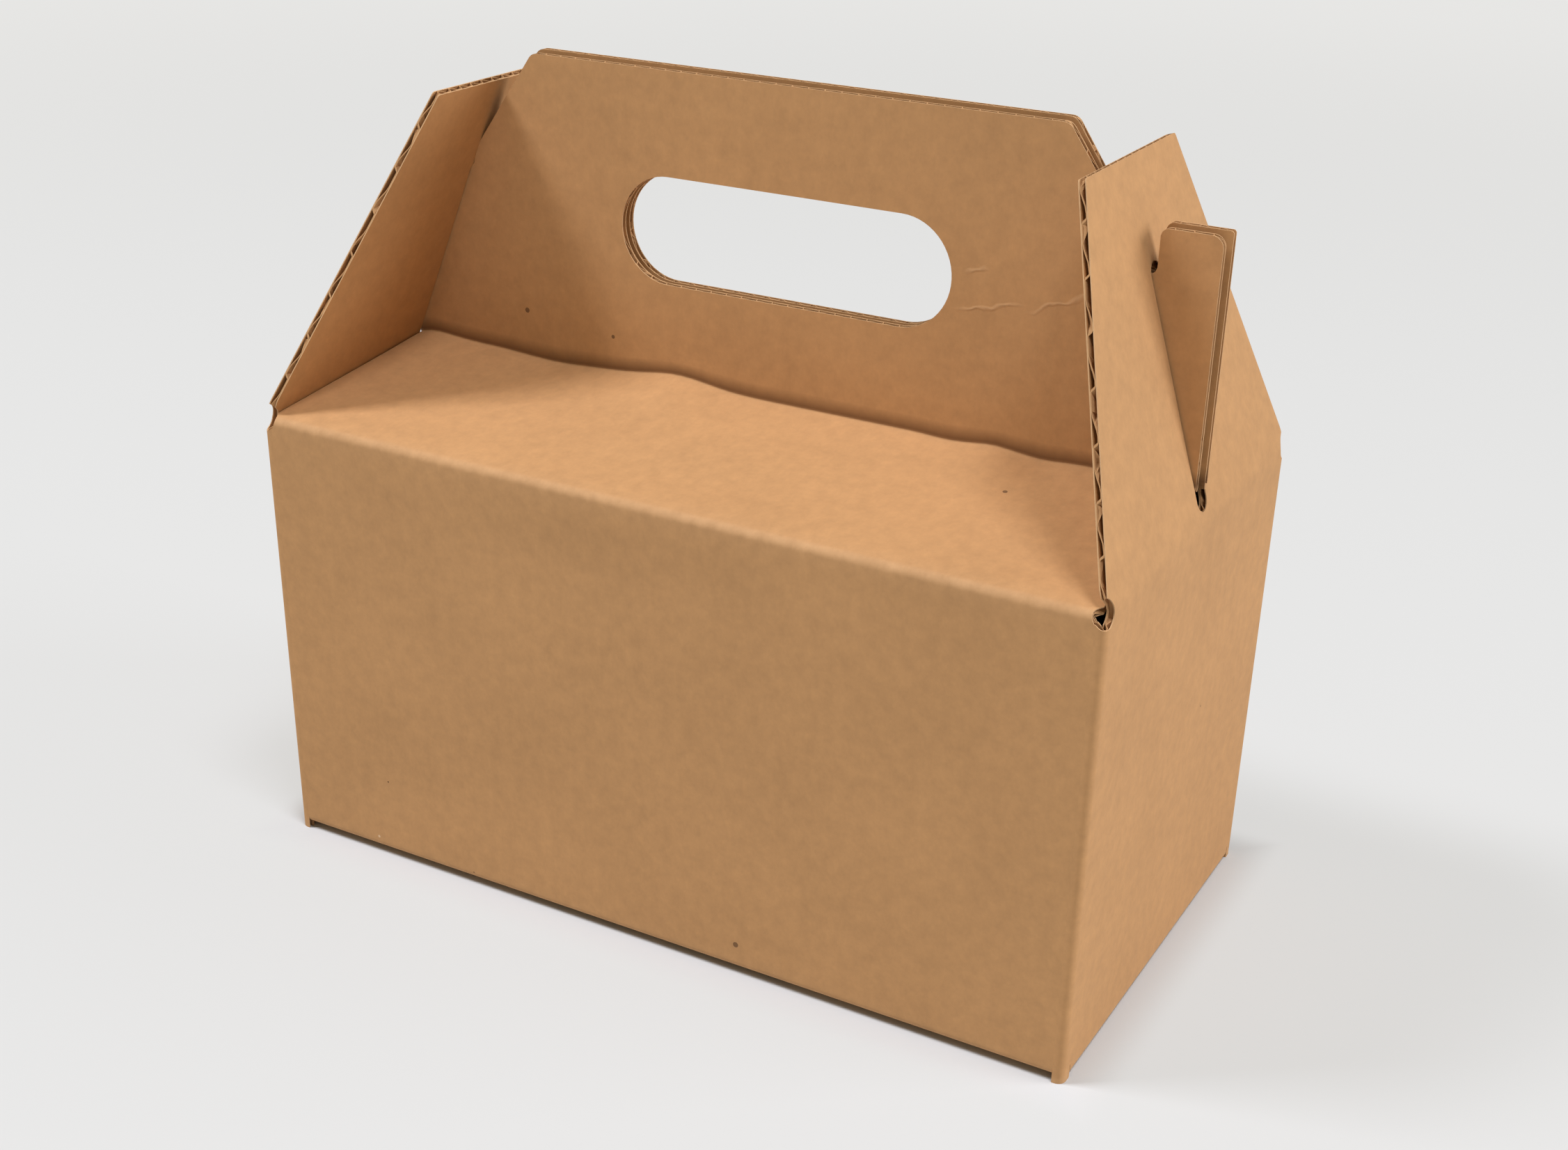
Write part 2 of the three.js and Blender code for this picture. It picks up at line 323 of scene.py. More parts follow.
def clear_of(points, loops, distance):
    """Which points are further than a distance from every edge of the loops."""
    kept = np.ones(len(points), bool)
    for loop in loops:
        for a, b in zip(loop, np.roll(loop, -1, axis=0)):
            low = np.minimum(a, b) - distance
            high = np.maximum(a, b) + distance
            near = np.flatnonzero(kept & np.all((points > low) & (points < high), axis=1))
            if not len(near):
                continue
            run = b - a
            share = np.clip((points[near] - a) @ run / max(run @ run, 1e-12), 0, 1)
            gap = np.linalg.norm(points[near] - a - share[:, None] * run, axis=1)
            kept[near[gap < distance]] = False
    return kept


def pattern_object(name, loops, columns, rows, extra=None, distance=0.2):
    """A flat pattern as a mesh of triangles, with points where its columns and rows cross."""
    edge_loops = [with_crossings(loop, columns, rows) for loop in loops]
    grid = np.stack(np.meshgrid(columns, rows), axis=-1).reshape(-1, 2)
    if extra is not None:
        grid = np.concatenate([grid, extra])
    grid = grid[inside(grid, loops)]
    grid = grid[clear_of(grid, loops, distance)]
    points = []
    edges = []
    for loop in edge_loops:
        first = len(points)
        points.extend(loop)
        edges.extend((first + i, first + (i + 1) % len(loop)) for i in range(len(loop)))
    points.extend(grid)
    made = delaunay_2d_cdt([Vector(p) for p in points], edges, [], 0, 1e-6)
    spots = np.array([tuple(v) for v in made[0]])
    faces = np.array(made[2])
    faces = faces[inside(spots[faces].mean(axis=1), loops)]
    a, b, c = (spots[faces[:, i]] for i in range(3))
    area = (b[:, 0] - a[:, 0]) * (c[:, 1] - a[:, 1]) - (b[:, 1] - a[:, 1]) * (c[:, 0] - a[:, 0])
    faces[area < 0] = faces[area < 0][:, ::-1]
    faces = faces[np.abs(area) > 1e-7]
    used, faces = np.unique(faces, return_inverse=True)
    faces = faces.reshape(-1, 3)
    mesh = bpy.data.meshes.new(name)
    mesh.from_pydata([(x, y, 0) for x, y in spots[used]], [], faces.tolist())
    obj = bpy.data.objects.new(name, mesh)
    bpy.context.scene.collection.objects.link(obj)
    return obj


# Fluted board as geometry nodes

SAME_POINT = 1e-4
SLOPE_REACH = 0.02


def add_socket(tree, name, kind, way="INPUT", value=None):
    socket = tree.interface.new_socket(name=name, in_out=way, socket_type=kind)
    if value is not None:
        socket.default_value = value
    return socket


def math_node(tree, operation, a, b=None):
    node = tree.nodes.new("ShaderNodeMath")
    node.operation = operation
    for socket, value in zip(node.inputs, (a, b)):
        if value is None:
            continue
        if isinstance(value, (int, float)):
            socket.default_value = value
        else:
            tree.links.new(value, socket)
    return node.outputs[0]


def smooth_step(tree, value, low, high):
    node = tree.nodes.new("ShaderNodeMapRange")
    node.interpolation_type = "SMOOTHSTEP"
    tree.links.new(value, node.inputs["Value"])
    for socket, edge in (("From Min", low), ("From Max", high)):
        if isinstance(edge, (int, float)):
            node.inputs[socket].default_value = edge
        else:
            tree.links.new(edge, node.inputs[socket])
    return node.outputs["Result"]


def flute_height_tree():
    """Height of the web between the liners: 0 on the inner liner and 1 on the outer one."""
    tree = bpy.data.node_groups.new("Flute height", "GeometryNodeTree")
    add_socket(tree, "Across", "NodeSocketFloat")
    add_socket(tree, "Pitch", "NodeSocketFloat", value=FLUTE_PITCH)
    add_socket(tree, "Height", "NodeSocketFloat", "OUTPUT")
    given = tree.nodes.new("NodeGroupInput")
    result = tree.nodes.new("NodeGroupOutput")
    turns = math_node(tree, "DIVIDE", given.outputs["Across"], given.outputs["Pitch"])
    phase = math_node(tree, "FRACT", turns)
    climb = smooth_step(tree, phase, 0.0, FLUTE_RISE)
    fall = smooth_step(tree, phase, FLUTE_CREST, FLUTE_FOOT)
    tree.links.new(math_node(tree, "SUBTRACT", climb, fall), result.inputs["Height"])
    return tree


def board_layer_tree(height_tree):
    """Thickens a flat pattern into one layer of the board, waved if it is the web."""
    tree = bpy.data.node_groups.new("Board layer", "GeometryNodeTree")
    add_socket(tree, "Geometry", "NodeSocketGeometry")
    for name in ("Middle", "Swing", "Thickness", "Pitch"):
        add_socket(tree, name, "NodeSocketFloat")
    add_socket(tree, "Face", "NodeSocketMaterial")
    add_socket(tree, "Cut edge", "NodeSocketMaterial")
    add_socket(tree, "Geometry", "NodeSocketGeometry", "OUTPUT")
    nodes, links = tree.nodes, tree.links
    given = nodes.new("NodeGroupInput")
    result = nodes.new("NodeGroupOutput")

    extrude = nodes.new("GeometryNodeExtrudeMesh")
    extrude.mode = "FACES"
    extrude.inputs["Individual"].default_value = False
    extrude.inputs["Offset"].default_value = (0, 0, 1)
    links.new(given.outputs["Geometry"], extrude.inputs["Mesh"])
    links.new(given.outputs["Thickness"], extrude.inputs["Offset Scale"])
    flip = nodes.new("GeometryNodeFlipFaces")
    links.new(given.outputs["Geometry"], flip.inputs["Mesh"])
    join = nodes.new("GeometryNodeJoinGeometry")
    links.new(flip.outputs["Mesh"], join.inputs["Geometry"])
    links.new(extrude.outputs["Mesh"], join.inputs["Geometry"])
    merge = nodes.new("GeometryNodeMergeByDistance")
    merge.inputs["Distance"].default_value = SAME_POINT
    links.new(join.outputs["Geometry"], merge.inputs["Geometry"])

    place = nodes.new("GeometryNodeInputPosition")
    split = nodes.new("ShaderNodeSeparateXYZ")
    links.new(place.outputs["Position"], split.inputs["Vector"])
    heights = []
    reach = SLOPE_REACH * FLUTE_PITCH
    for offset in (-reach, 0.0, reach):
        height = nodes.new("GeometryNodeGroup")
        height.node_tree = height_tree
        links.new(math_node(tree, "ADD", split.outputs["X"], offset), height.inputs["Across"])
        links.new(given.outputs["Pitch"], height.inputs["Pitch"])
        heights.append(height.outputs["Height"])
    swing = given.outputs["Swing"]
    rise = math_node(tree, "MULTIPLY", math_node(tree, "SUBTRACT", heights[2], heights[0]), swing)
    slope = math_node(tree, "DIVIDE", rise, reach)
    square = math_node(tree, "MULTIPLY", slope, slope)
    stretch = math_node(tree, "SQRT", math_node(tree, "ADD", square, 1.0))
    level = math_node(tree, "SUBTRACT", 1.0, math_node(tree, "MULTIPLY", heights[1], 2.0))
    middle = math_node(tree, "ADD", given.outputs["Middle"], math_node(tree, "MULTIPLY", level, swing))
    half_way = math_node(tree, "MULTIPLY", given.outputs["Thickness"], 0.5)
    top = math_node(tree, "GREATER_THAN", split.outputs["Z"], half_way)
    side = math_node(tree, "SUBTRACT", top, 0.5)
    half = math_node(tree, "MULTIPLY", side, given.outputs["Thickness"])
    half = math_node(tree, "MULTIPLY", half, stretch)
    spot = nodes.new("ShaderNodeCombineXYZ")
    links.new(split.outputs["X"], spot.inputs["X"])
    links.new(split.outputs["Y"], spot.inputs["Y"])
    links.new(math_node(tree, "ADD", middle, half), spot.inputs["Z"])
    move = nodes.new("GeometryNodeSetPosition")
    links.new(merge.outputs["Geometry"], move.inputs["Geometry"])
    links.new(spot.outputs["Vector"], move.inputs["Position"])

    face = nodes.new("GeometryNodeSetMaterial")
    links.new(move.outputs["Geometry"], face.inputs["Geometry"])
    links.new(given.outputs["Face"], face.inputs["Material"])
    edge = nodes.new("GeometryNodeSetMaterial")
    links.new(face.outputs["Geometry"], edge.inputs["Geometry"])
    links.new(extrude.outputs["Side"], edge.inputs["Selection"])
    links.new(given.outputs["Cut edge"], edge.inputs["Material"])
    links.new(edge.outputs["Geometry"], result.inputs["Geometry"])
    return tree


def corrugated_board_tree():
    """Two liners and a fluted web between them, all cut to one flat pattern."""
    layer_tree = board_layer_tree(flute_height_tree())
    tree = bpy.data.node_groups.new("Corrugated board", "GeometryNodeTree")
    add_socket(tree, "Geometry", "NodeSocketGeometry")
    add_socket(tree, "Web pattern", "NodeSocketObject")
    for name, value in (("Board", BOARD), ("Liner", LINER), ("Web", WEB), ("Pitch", FLUTE_PITCH)):
        add_socket(tree, name, "NodeSocketFloat", value=value)
    for name in ("Outside", "Inside", "Flutes", "Cut edge"):
        add_socket(tree, name, "NodeSocketMaterial")
    add_socket(tree, "Geometry", "NodeSocketGeometry", "OUTPUT")
    nodes, links = tree.nodes, tree.links
    given = nodes.new("NodeGroupInput")
    result = nodes.new("NodeGroupOutput")
    pattern = nodes.new("GeometryNodeObjectInfo")
    links.new(given.outputs["Web pattern"], pattern.inputs["Object"])
    join = nodes.new("GeometryNodeJoinGeometry")
    half_liner = math_node(tree, "MULTIPLY", given.outputs["Liner"], 0.5)
    half_board = math_node(tree, "MULTIPLY", given.outputs["Board"], 0.5)
    inner_middle = math_node(tree, "SUBTRACT", given.outputs["Board"], half_liner)
    room = math_node(tree, "SUBTRACT", half_board, given.outputs["Liner"])
    half_web = math_node(tree, "MULTIPLY", given.outputs["Web"], 0.5)
    swing = math_node(tree, "SUBTRACT", math_node(tree, "SUBTRACT", room, half_web), WEB_CLEARANCE)
    layers = (
        ("Outside", "Liner", half_liner, None, given.outputs["Geometry"], "Cut edge"),
        ("Flutes", "Web", half_board, swing, pattern.outputs["Geometry"], "Flutes"),
        ("Inside", "Liner", inner_middle, None, given.outputs["Geometry"], "Cut edge"),
    )
    for face, thickness, middle, travel, source, edge in layers:
        layer = nodes.new("GeometryNodeGroup")
        layer.node_tree = layer_tree
        links.new(source, layer.inputs["Geometry"])
        links.new(middle, layer.inputs["Middle"])
        if travel is not None:
            links.new(travel, layer.inputs["Swing"])
        links.new(given.outputs[thickness], layer.inputs["Thickness"])
        links.new(given.outputs["Pitch"], layer.inputs["Pitch"])
        links.new(given.outputs[face], layer.inputs["Face"])
        links.new(given.outputs[edge], layer.inputs["Cut edge"])
        links.new(layer.outputs["Geometry"], join.inputs["Geometry"])
    realize = nodes.new("GeometryNodeRealizeInstances")
    links.new(join.outputs["Geometry"], realize.inputs["Geometry"])
    links.new(realize.outputs["Geometry"], result.inputs["Geometry"])
    return tree


def set_input(modifier, name, value):
    """Sets a modifier's input by its socket's identifier."""
    for item in modifier.node_group.interface.items_tree:
        if item.item_type == "SOCKET" and item.in_out == "INPUT" and item.name == name:
            modifier[item.identifier] = value
            return
    raise ValueError(name)


def flat_board(name, liner_pattern, web_pattern, tree, finishes):
    """A flat sheet of corrugated board as a plain mesh object."""
    modifier = liner_pattern.modifiers.new("Corrugated board", "NODES")
    modifier.node_group = tree
    set_input(modifier, "Web pattern", web_pattern)
    for key, finish in finishes.items():
        set_input(modifier, key, finish)
    graph = bpy.context.evaluated_depsgraph_get()
    mesh = bpy.data.meshes.new_from_object(liner_pattern.evaluated_get(graph), depsgraph=graph)
    mesh.name = name
    for obj in (liner_pattern, web_pattern):
        bpy.data.objects.remove(obj)
    obj = bpy.data.objects.new(name, mesh)
    bpy.context.scene.collection.objects.link(obj)
    return obj


FLUTE_SHARES = (0.0, 0.05, 0.10, 0.20, 0.31, 0.43, 0.55, 0.66)


def flute_columns(low, high):
    """Distances across the board at which the web bends."""
    first = math.floor(low / FLUTE_PITCH)
    last = math.ceil(high / FLUTE_PITCH)
    columns = [(k + share) * FLUTE_PITCH for k in range(first, last) for share in FLUTE_SHARES]
    return np.array([c for c in columns if low < c < high])


# Sheets

def front_line():
    """The front and back sheets from the bottom seam, up the wall and over the roof to the handle's top."""
    return FoldedLine([
        (BOTTOM_SEAM / 2, LAP_LIFT, 0),
        (HALF_WIDTH - END_FLAP_INSET + 0.3, LAP_LIFT, 1.0),
        (HALF_WIDTH, SLEEVE_LIFT, FOLD_RADIUS),
        (HALF_WIDTH, WALL_HEIGHT, FOLD_RADIUS),
        (PLY_FACE, FOLD_HEIGHT, RIDGE_RADIUS),
        (PLY_FACE, HANDLE_TOP + BACK_PLY_RISE + BOARD, 0),
    ])


def end_line(side):
    """An end sheet from the tip of its bottom flap, up the wall and up the leaning flap."""
    lean = flap_lean(side)
    length = slot_top(side) + BOARD_ABOVE_SLOT
    return FoldedLine([
        (HALF_LENGTH - END_FLAP_REACH, 0, 0),
        (HALF_LENGTH, 0, FOLD_RADIUS),
        (HALF_LENGTH, WALL_HEIGHT, FLAP_CREASE_RADIUS),
        (HALF_LENGTH - math.sin(lean) * length, WALL_HEIGHT + math.cos(lean) * length, 0),
    ])


# Corners of the front and back line, then of the end line
SLEEVE_CREASE = 2
WALL_CREASE = 3
RIDGE_FOLD = 4
BOTTOM_CREASE = 1
FLAP_CREASE = 2

SLIT_PAST_CREASE = 0.6
SMALL_STEP = 0.01
RELIEF_STEP = 0.02


def front_side(line, side, rise, tab_extra, tab_radius):
    """One side of a front or back pattern from its bottom corner up to the top of the handle."""
    crease = line.crease(WALL_CREASE)
    fold = line.crease(RIDGE_FOLD)
    up = line.after[RIDGE_FOLD] - FOLD_HEIGHT
    shift = side * HANDLE_SHIFT
    corners = [(FRONT_EDGE, 0, 0)]
    roof_low = roof_end(side, WALL_HEIGHT)
    start = math.pi - math.acos((HALF_LENGTH - FRONT_EDGE) / CORNER_RELIEF)
    finish = math.pi - math.acos((HALF_LENGTH - roof_low) / CORNER_RELIEF)
    for angle in np.linspace(-start, finish - 2 * math.pi, 15):
        across = HALF_LENGTH + CORNER_RELIEF * math.cos(angle)
        corners.append((across, crease + CORNER_RELIEF * math.sin(angle), 0))
    tab = TAB_REACH - BACK_TAB_REACH + tab_extra + shift
    foot = roof_end(side, FOLD_HEIGHT) + FOOT_REACH
    tip = TAB_TOP + rise + up
    notch = (NOTCH_WIDTH - THROAT_FLAT) / 2
    corners += [
        (roof_end(side, FOLD_HEIGHT), fold, 0),
        (max(tab, foot), fold, 0),
        (max(tab, foot), fold + PLY_FOOT, 0),
        (tab, fold + 2 * PLY_FOOT, 0),
        (tab, tip, tab_radius),
        (FINGER_INNER + shift, tip, FINGER_TIP_RADIUS),
        (FINGER_INNER + shift, THROAT_HEIGHT + up, notch),
        (THROAT_INNER + shift, THROAT_HEIGHT + up, notch),
        (THROAT_INNER + shift, THROAT_HEIGHT + NOTCH_WIDTH + up, 0),
        (HANDLE_TOP_HALF + shift, HANDLE_TOP + rise + up, HANDLE_CORNER_RADIUS),
    ]
    return corners


def mirrored(corners):
    return [(-across, along, radius) for across, along, radius in reversed(corners)]


def front_loops(line, rise, tab_extra, tab_radius):
    """Outline and hand hole of a front or back sheet, flat."""
    right = front_side(line, 1, rise, tab_extra, tab_radius)
    left = front_side(line, -1, rise, tab_extra, tab_radius)
    up = line.after[RIDGE_FOLD] - FOLD_HEIGHT
    radius = HOLE_HEIGHT / 2
    middle = (HANDLE_SHIFT, FOLD_HEIGHT + HOLE_ABOVE_FOLD + radius + up)
    return [rounded(right + mirrored(left)), stadium(middle, HOLE_LENGTH / 2 - radius, radius)]


def corner_distance(across):
    """Level distance of a point of an end sheet from the upright corner of the box."""
    turn = min(max((across - HALF_WIDTH + FOLD_RADIUS) / FOLD_RADIUS, 0), math.pi / 2)
    flange = max(across - (HALF_WIDTH - FOLD_RADIUS) - WRAP_ARC, 0)
    flat = max(HALF_WIDTH - FOLD_RADIUS - across, 0)
    x = FOLD_RADIUS * (1 - math.cos(turn)) + flange
    y = FOLD_RADIUS * (1 - math.sin(turn)) + flat
    return math.hypot(x, y)


def end_side(line, side):
    """One side of an end pattern from its bottom flap up to the tip of its slotted flap."""
    slit_end = line.before[BOTTOM_CREASE] + SLIT_PAST_CREASE + FOLD_RADIUS
    floor = line.after[BOTTOM_CREASE] + SMALL_STEP
    flap_side = HALF_WIDTH - END_FLAP_INSET
    crease = line.crease(FLAP_CREASE)
    length = slot_top(side) + BOARD_ABOVE_SLOT
    taper = (HALF_WIDTH - FLAP_TOP_WIDTH / 2) / length
    corners = [
        (flap_side, 0, 0),
        (flap_side, slit_end, 0),
        (flap_side + CORNER_SLIT, slit_end, 0),
        (flap_side + CORNER_SLIT, floor, 0),
        (END_EDGE, floor, 0),
    ]
    for across in np.linspace(END_EDGE, HALF_WIDTH - CORNER_RELIEF + RELIEF_STEP, 16):
        drop = math.sqrt(CORNER_RELIEF ** 2 - corner_distance(across) ** 2)
        corners.append((across, crease - drop, 0))
    climb = CORNER_RELIEF / math.sqrt(1 + taper ** 2)
    first = math.acos((CORNER_RELIEF - RELIEF_STEP) / CORNER_RELIEF)
    last = math.acos(taper * climb / CORNER_RELIEF)
    for angle in np.linspace(first, last, 10):
        across = HALF_WIDTH - CORNER_RELIEF * math.cos(angle)
        corners.append((across, crease + CORNER_RELIEF * math.sin(angle), 0))
    corners.append((FLAP_TOP_WIDTH / 2, line.after[FLAP_CREASE] + length, FLAP_CORNER_RADIUS))
    return corners


def end_loops(line, side):
    """Outline and slot of an end sheet, flat."""
    half = end_side(line, side)
    radius = SLOT_WIDTH / 2
    low = SLOT_ABOVE_CREASE + radius
    high = seen_slot_top(side) - radius
    middle = (0, line.after[FLAP_CREASE] + (low + high) / 2)
    return [rounded(half + mirrored(half)), stadium(middle, (high - low) / 2, radius, upright=True)]


# The box as it stands: small dents and waves, all within the solids' box

# Each bump of the roof's inner crease: middle, width and height
RIDGE_BUMPS = ((-28, 13, 2.2), (-68, 14, -1.0), (-111, 10, 1.0), (52, 6, -0.4), (65, 5, 0.6), (79, 6, -0.6))
WALL_DENT = 0.7
END_DENT = 0.6
ROOF_DENT = 1.1
PLY_BOW = 0.3
CREASE_DIP = 0.15
CREASE_REACH = 2.2
CREASE_BAND = 4.0
WALL_BAND = (4.5, 3.0)
FAR_FROM_CREASE = 99.0


def ease(value, low, high):
    share = np.clip((value - low) / (high - low), 0, 1)
    return share * share * (3 - 2 * share)


def swell(a, b, length, turn):
    """A gentle unevenness between 0 and 1 over two directions."""
    waves = (np.sin(a / length + turn) + np.sin((0.6 * a + b) / (0.7 * length) + 2 * turn)
             + np.sin((b - 0.4 * a) / (0.5 * length) + 3 * turn))
    return 0.5 + waves / 6


def settled(x, y, z, crease_gap):
    """Moves points of the folded sheets as handling has.

    crease_gap is their distance from the wall's top crease.
    """
    out = np.abs(y)
    facing = np.sign(y)
    upright = ease(z, CREASE_BAND, 30) * (1 - ease(z, 105, WALL_HEIGHT - CREASE_BAND))
    along = ease(HALF_LENGTH - np.abs(x), 6, 30)
    wall = ease(out, *(HALF_WIDTH - band for band in WALL_BAND))
    y = y - facing * wall * upright * along * WALL_DENT * swell(x, z, 24, 1.3)
    across = ease(HALF_WIDTH - out, 6, 25)
    end = ease(np.abs(x), *(HALF_LENGTH - band for band in WALL_BAND)) * (z < WALL_HEIGHT - CREASE_BAND)
    x = x - np.sign(x) * end * upright * across * END_DENT * swell(y, z, 20, 2.1)
    bumps = sum(height * np.exp(-((x - middle) / width) ** 2) for middle, width, height in RIDGE_BUMPS)
    roof = (z > WALL_HEIGHT - 3) & (z < FOLD_HEIGHT + 0.4)
    slope = ease(HALF_WIDTH - out, 28, HALF_WIDTH - PLY_FACE) * roof
    ply = (1 - ease(z, FOLD_HEIGHT, FOLD_HEIGHT + 12)) * (z >= FOLD_HEIGHT + 0.4) * (out < PLY_FACE + 1)
    near_end = ease(HALF_LENGTH - np.abs(x), 4, 12)
    z = z + bumps * np.maximum(slope, ply) * near_end
    panel = ease(HALF_WIDTH - out, 4, 20) * ease(out, 6, 22) * roof * near_end
    z = z - panel * ROOF_DENT * swell(x, y, 17, 0.4)
    ripple = 0.5 - 0.5 * np.cos(2 * np.pi * x / FLUTE_PITCH)
    dip = CREASE_DIP * ripple * np.exp(-(crease_gap / CREASE_REACH) ** 2) * wall * near_end
    y = y - facing * dip
    z = z - dip
    grip = ease(z, FOLD_HEIGHT + 8, FOLD_HEIGHT + 30) * (np.abs(x) < FINGER_INNER) * (out < PLY_FACE + 1)
    bow = PLY_BOW * (swell(x, z, 21, 0.9) - 0.5) * ease(FINGER_INNER - np.abs(x - HANDLE_SHIFT), 2, 22)
    y = y + bow * grip * ease(HANDLE_TOP + 2 - z, 0, 12)
    return x, y, z


def fold_front(facing, line):
    """How the points of a flat front or back sheet are folded."""
    def fold(flat):
        across, along, depth = flat.T
        out, up = line.place(along, depth)
        return settled(across, facing * out, up, along - line.crease(WALL_CREASE))
    return fold


def fold_end(side, line):
    """How the points of a flat end sheet are folded, with its corners wrapped behind the front and back."""
    straight_start = line.after[BOTTOM_CREASE]
    wall_start = line.before[BOTTOM_CREASE] + FOLD_RADIUS

    def fold(flat):
        across, along, depth = flat.T
        out, up = line.place(along, depth)
        gap = np.abs(across)
        tip = (gap > HALF_WIDTH - END_FLAP_INSET + CORNER_SLIT / 2) & (along < wall_start)
        out = np.where(tip, HALF_LENGTH - depth, out)
        up = np.where(tip, along - straight_start, up)
        turn = np.clip((gap - HALF_WIDTH + FOLD_RADIUS) / FOLD_RADIUS, 0, math.pi / 2)
        flange = np.maximum(gap - (HALF_WIDTH - FOLD_RADIUS) - WRAP_ARC, 0)
        out = out - (FOLD_RADIUS - depth) * (1 - np.cos(turn)) - flange
        wrapped = HALF_WIDTH - FOLD_RADIUS + (FOLD_RADIUS - depth) * np.sin(turn)
        y = np.sign(across) * np.where(turn > 0, wrapped, gap)
        x = side * out
        dented = settled(x, y, up, FAR_FROM_CREASE)[0]
        return np.where(along > line.crease(FLAP_CREASE), x, dented), y, up
    return fold


def fold_sheet(obj, fold, flip, creases, level, unrolled):
    """Folds a flat sheet into place, in metres, and keeps its flat layout as a UV map."""
    mesh = obj.data
    flat = np.empty(len(mesh.vertices) * 3)
    mesh.vertices.foreach_get("co", flat)
    flat = flat.reshape(-1, 3)
    placed = np.stack(fold(flat), axis=1) * MM
    mesh.vertices.foreach_set("co", placed.ravel())
    if flip:
        mesh.flip_normals()
    corner = np.empty(len(mesh.loops), np.int32)
    mesh.loops.foreach_get("vertex_index", corner)
    layout = np.stack([unrolled + flat[:, 0], flat[:, 1] - level], axis=1) * MM
    uv = mesh.uv_layers.new(name="Board")
    uv.data.foreach_set("uv", layout[corner].ravel().astype(np.float32))
    # Crease marks: positive values give pale wear, negative ones painted shade along the ridge fold
    marks = sum(share * np.exp(-((flat[:, 1] - crease) / width) ** 2) for crease, width, share in creases)
    mark = mesh.attributes.new("crease", "FLOAT", "POINT")
    mark.data.foreach_set("value", marks.astype(np.float32))
    mesh.shade_smooth()
    mesh.set_sharp_from_angle(angle=math.radians(38))
    mesh.update()
    return obj


COLUMN_STEP = 3.0
ROW_STEP = 3.5
WEB_ROW_STEP = 10.0
WEB_ARC_STEP = math.radians(22)
RIPPLE_BAND = 5.0
RIPPLE_STEP = FLUTE_PITCH / 5
RIPPLE_CLEAR = 0.35


def sheet(name, line, loops, fold, flip, tree, extra_columns, unrolled, level, creases, ripple_row=None):
    """One folded sheet of board; near ripple_row it has points close enough for a rippled crease."""
    low, high = loops[0].min(axis=0), loops[0].max(axis=0)
    first = math.ceil(low[0] / COLUMN_STEP) * COLUMN_STEP
    columns = thinned([*np.arange(first, high[0], COLUMN_STEP), *extra_columns])
    rows = line.rows(ROW_STEP)
    rows = rows[rows < high[1] + 1]
    extra = None
    if ripple_row is not None:
        band = rows[np.abs(rows - ripple_row) < RIPPLE_BAND]
        fine = np.arange(low[0], high[0], RIPPLE_STEP)
        fine = fine[np.abs(fine[:, None] - columns).min(axis=1) > RIPPLE_CLEAR]
        extra = np.stack(np.meshgrid(fine, band), axis=-1).reshape(-1, 2)
    liner_pattern = pattern_object(name + "_liner", loops, columns, rows, extra)
    web_columns = thinned([*flute_columns(low[0], high[0]), *extra_columns])
    web_rows = line.rows(WEB_ROW_STEP, WEB_ARC_STEP)
    web_pattern = pattern_object(name + "_web", loops, web_columns, web_rows, distance=0.08)
    obj = flat_board(name, liner_pattern, web_pattern, tree, FINISHES)
    return fold_sheet(obj, fold, flip, creases, level, unrolled)


# Kraft paper

def texture(tree, kind, scale, vector, detail=2.0, roughness=0.5):
    node = tree.nodes.new(kind)
    node.inputs["Scale"].default_value = scale
    if kind == "ShaderNodeTexNoise":
        node.inputs["Detail"].default_value = detail
        node.inputs["Roughness"].default_value = roughness
    tree.links.new(vector, node.inputs["Vector"])
    return node


def stretched(tree, vector, scale):
    node = tree.nodes.new("ShaderNodeMapping")
    node.inputs["Scale"].default_value = scale
    tree.links.new(vector, node.inputs["Vector"])
    return node.outputs["Vector"]


def mixed(tree, factor, a, b, kind="MIX"):
    node = tree.nodes.new("ShaderNodeMix")
    node.data_type = "RGBA"
    node.blend_type = kind
    node.clamp_factor = True
    for socket, value in ((node.inputs["Factor"], factor), (node.inputs["A"], a), (node.inputs["B"], b)):
        if isinstance(value, bpy.types.NodeSocket):
            tree.links.new(value, socket)
        else:
            socket.default_value = value
    return node.outputs["Result"]


# Each kind of speck: how close its cells lie, the share of them left plain, and its tone
SPECK_KINDS = ((95, 0.86, (0.10, 0.045, 0.02, 1)), (60, 0.93, (0.78, 0.56, 0.36, 1)))
SPECK_SIZE = 0.11
SPECK_STRENGTH = 0.75
WORN_TONE = (0.80, 0.58, 0.38, 1)
# Near-black brown of the painted shade in the valley of the ridge fold
RIDGE_SHADE_TONE = (0.16, 0.07, 0.025, 1)
RELIEF_DEPTH = 0.00012


